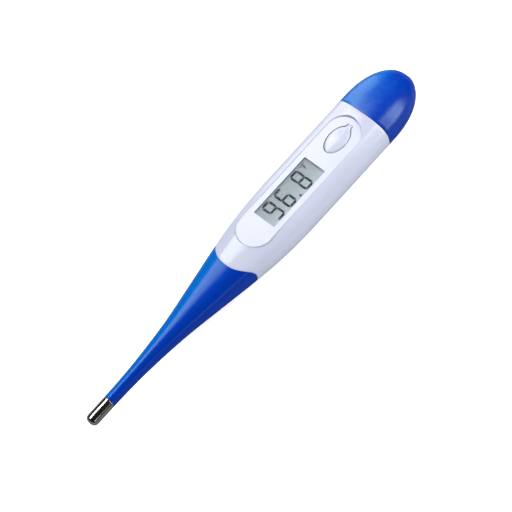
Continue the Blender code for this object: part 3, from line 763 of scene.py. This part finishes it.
def unit_bars():
    """A small degree ring and a capital F."""
    left, low, high = WINDOW_LEFT + 17.9, 1.2, 3.1
    bars = [
        bar(left + 0.75, low, left + 0.75, high, 0.26),
        bar(left + 0.7, high - 0.13, left + 1.75, high - 0.13, 0.26),
        bar(left + 0.7, (low + high) / 2, left + 1.5, (low + high) / 2, 0.24),
    ]
    ring = circle(left + 0.15, high - 0.28, 0.26, 14)
    return bars, ring


def build_display():
    """The display's face, with its figures as thin films on it."""
    outline = rounded_rectangle(WINDOW_X, GLASS_HIGH.x - GLASS_LOW.x, GLASS_HIGH.y, 0.15)
    face = plate("display_face", outline, GLASS_LOW.z, FACE_TOP, FACE)
    soften(face, 0.04)
    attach(face, "chassis")
    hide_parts("lcd_front_glass")
    shapes = []
    for left, segments in zip(DIGIT_LEFTS, FIGURES):
        shapes += figure_bars(left, DIGIT_BOTTOM, segments)
    dot_x, dot_y = WINDOW_LEFT + 11.7, DIGIT_BOTTOM + 0.45
    dot = ((-0.3, -0.4), (0.3, -0.25), (0.3, 0.4), (-0.3, 0.3))
    shapes.append([(dot_x + x, dot_y + y) for x, y in dot])
    letters, ring = unit_bars()
    shapes += letters + [ring]
    shape = bmesh.new()
    base = FACE_TOP
    for corners in shapes:
        flat = [shape.verts.new(Vector((x, y, base)) * MM) for x, y in corners]
        lifted = [shape.verts.new(Vector((x, y, base + INK_THICKNESS)) * MM) for x, y in corners]
        shape.faces.new(flat[::-1])
        shape.faces.new(lifted)
        for k in range(len(flat)):
            after = (k + 1) % len(flat)
            shape.faces.new((flat[k], flat[after], lifted[after], lifted[k]))
    bmesh.ops.recalc_face_normals(shape, faces=shape.faces)
    mesh = bpy.data.meshes.new("display_figures")
    shape.to_mesh(mesh)
    shape.free()
    figures = add_piece("display_figures", mesh, INK)
    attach(figures, "chassis")


# ---------------------------------------------------------------- cell and carried-over nodes


def build_cell():
    """A button cell: a can with a rolled edge, a seal and a stepped lid below."""
    x = (CELL_LOW.x + CELL_HIGH.x) / 2
    low, high, radius = CELL_LOW.z, CELL_HIGH.z, CELL_HIGH.y
    profile = (
        (low, 0.3), (low, radius - 1.0), (low + 0.25, radius - 0.9), (low + 0.3, radius - 0.55),
        (low + 0.42, radius - 0.5), (low + 0.45, radius - 0.12), (low + 0.6, radius), (high - 0.22, radius),
        (high - 0.08, radius - 0.06), (high, radius - 0.2), (high, radius - 0.9),
        (high - 0.06, radius - 0.97), (high - 0.06, radius - 1.1), (high, radius - 1.17), (high, 0.3),
    )
    rings = [at_height(circle(x, 0.0, r, 72), z) for z, r in profile]
    cell = loft("button_cell", rings, NICKEL, sharp=40.0)
    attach(cell, "chassis")
    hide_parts("battery_cell")


def dress_nodes():
    """Materials for the CAD nodes that are shown as they are."""
    looks = {
        "inner_chassis": CHASSIS,
        "lcd_frame": CHASSIS,
        "circuit_board": BOARD,
        "board_screw_front": SPRING,
        "board_screw_rear": SPRING,
        "battery_contact_lower": SPRING,
        "battery_contact_upper": SPRING,
        "buzzer_brass_disc": BRASS,
        "buzzer_ceramic_disc": CERAMIC,
        "chip_resistor": CERAMIC,
        "chip_capacitor": BLACK,
        "controller_epoxy_blob": EPOXY,
        "cover_seal_ring": SEAL,
        "lcd_rear_glass": FACE,
        "lcd_reflector": MIRROR_FILM,
        "switch_housing": BLACK,
        "switch_plunger": WHITE,
        "thermistor_bead": EPOXY,
        "tip_adhesive": CERAMIC,
        "zebra_connector_left": RUBBER,
        "zebra_connector_right": RUBBER,
    }
    for node, piece in frame["nodes"].items():
        look = LEAD if node.startswith("sensor_lead") else looks.get(node)
        if look is not None:
            piece.data.materials.clear()
            piece.data.materials.append(look)


# ---------------------------------------------------------------- stage, light and camera

UP = Vector((0.721, 0.547, 0.425))
BACK = Vector((-0.2166, -0.4048, 0.8884))
CENTRE = Vector((0.0, 0.0, AXIS_Z))
VIEW_WIDTH = 138.1
DISTANCE = 575.0
SENSOR = 36.0
AIM_RIGHT, AIM_UP = 1.01, -2.87
WORLD_DIFFUSE, WORLD_GLOSS, WORLD_SEEN = 0.09, 0.01, 0.97
FLOOR_LIFT = 0.62  # light of its own, which keeps the floor white


def build_camera():
    data = bpy.data.cameras.new("view")
    data.sensor_width = SENSOR
    data.lens = SENSOR * DISTANCE / VIEW_WIDTH
    data.clip_end = 10.0
    camera = bpy.data.objects.new("view", data)
    back = BACK.normalized()
    right = UP.cross(back).normalized()
    up = back.cross(right)
    turn = Matrix((right, up, back)).transposed().to_4x4()
    place = CENTRE + back * DISTANCE + right * AIM_RIGHT + up * AIM_UP
    camera.matrix_world = Matrix.Translation(place * MM) @ turn
    bpy.context.scene.collection.objects.link(camera)
    bpy.context.scene.camera = camera


def area_light(name, leans, xs, radiance, reflected=True, distance=450.0):
    """A softbox along X, between two leans in degrees from straight above towards +Y."""
    middle, spread = sum(leans) / 2, abs(leans[1] - leans[0]) / 2
    data = bpy.data.lights.new(name, "AREA")
    data.shape = "RECTANGLE"
    data.size = (xs[1] - xs[0]) * MM
    data.size_y = 2 * distance * math.tan(math.radians(spread)) * MM
    data.energy = radiance * math.pi * data.size * data.size_y
    lamp = bpy.data.objects.new(name, data)
    lamp.visible_glossy = reflected
    out = Vector((0.0, math.sin(math.radians(middle)), math.cos(math.radians(middle))))
    turn = Matrix((Vector((1.0, 0.0, 0.0)), out.cross(Vector((1.0, 0.0, 0.0))), out)).transposed().to_4x4()
    place = CENTRE + out * distance + Vector((sum(xs) / 2, 0.0, 0.0))
    lamp.matrix_world = Matrix.Translation(place * MM) @ turn
    bpy.context.scene.collection.objects.link(lamp)


def build_lights():
    area_light("key_strip", (22.0, 42.0), (-380.0, 190.0), 6.0)
    area_light("back_softbox", (38.0, 88.0), (115.0, 420.0), 3.0)
    area_light("front_softbox", (-84.0, -12.0), (200.0, 440.0), 6.0)
    area_light("front_fill", (-88.0, -58.0), (-380.0, 500.0), 0.9, reflected=False)
    area_light("tip_strip", (-76.0, -60.0), (-190.0, -20.0), 1.1)


def build_world():
    """White where it is looked at, dim as ambient light, and dark in reflections."""
    world = bpy.data.worlds.new("studio")
    world.use_nodes = True
    nodes, links = world.node_tree.nodes, world.node_tree.links
    path = nodes.new("ShaderNodeLightPath")
    gloss = nodes.new("ShaderNodeMix")
    gloss.inputs[2].default_value, gloss.inputs[3].default_value = WORLD_DIFFUSE, WORLD_GLOSS
    links.new(path.outputs["Is Glossy Ray"], gloss.inputs[0])
    seen = nodes.new("ShaderNodeMix")
    seen.inputs[3].default_value = WORLD_SEEN
    links.new(path.outputs["Is Camera Ray"], seen.inputs[0])
    links.new(gloss.outputs[0], seen.inputs[2])
    links.new(seen.outputs[0], nodes["Background"].inputs["Strength"])
    nodes["Background"].inputs["Color"].default_value = (0.97, 0.985, 1.0, 1.0)
    bpy.context.scene.world = world


def floor_look():
    """Pale paper lit from behind, which throws little light back on the thermometer."""
    look = Look("floor_paper", 0.9, Specular_IOR_Level=0.0)
    look.set("Base Color", look.ramp(look.noise(20.0), (0.3, (0.9, 0.9, 0.905)), (0.7, (0.92, 0.92, 0.925))))
    look.set("Emission Color", (1.0, 1.0, 1.0, 1.0))
    look.set("Emission Strength", FLOOR_LIFT)
    path = look.add("ShaderNodeLightPath")
    thrown = look.ramp(path.outputs["Is Glossy Ray"], (0.0, (0.6, 0.6, 0.61)), (1.0, (0.22, 0.22, 0.225)))
    other = look.add("ShaderNodeBsdfDiffuse", Color=thrown)
    choose = look.add("ShaderNodeMixShader")
    look.feed(choose.inputs[0], path.outputs["Is Camera Ray"])
    look.feed(choose.inputs[1], other.outputs[0])
    look.feed(choose.inputs[2], look.shader.outputs[0])
    look.feed(look.tree.nodes["Material Output"].inputs["Surface"], choose.outputs[0])
    return look.material


def build_floor():
    reach, drop = 1600.0, 0.02
    shape = bmesh.new()
    corners = ((-reach, -reach), (reach, -reach), (reach, reach), (-reach, reach))
    shape.faces.new([shape.verts.new(Vector((x, y, -drop)) * MM) for x, y in corners])
    mesh = bpy.data.meshes.new("floor")
    shape.to_mesh(mesh)
    shape.free()
    add_piece("floor", mesh, floor_look())


def main():
    build_camera()
    build_housing()
    build_panel()
    build_window()
    build_button()
    build_cover()
    build_probe_skins()
    build_steel_tip()
    build_display()
    build_cell()
    dress_nodes()
    build_floor()
    build_lights()
    build_world()
    bpy.context.scene.view_settings.view_transform = "Standard"


main()
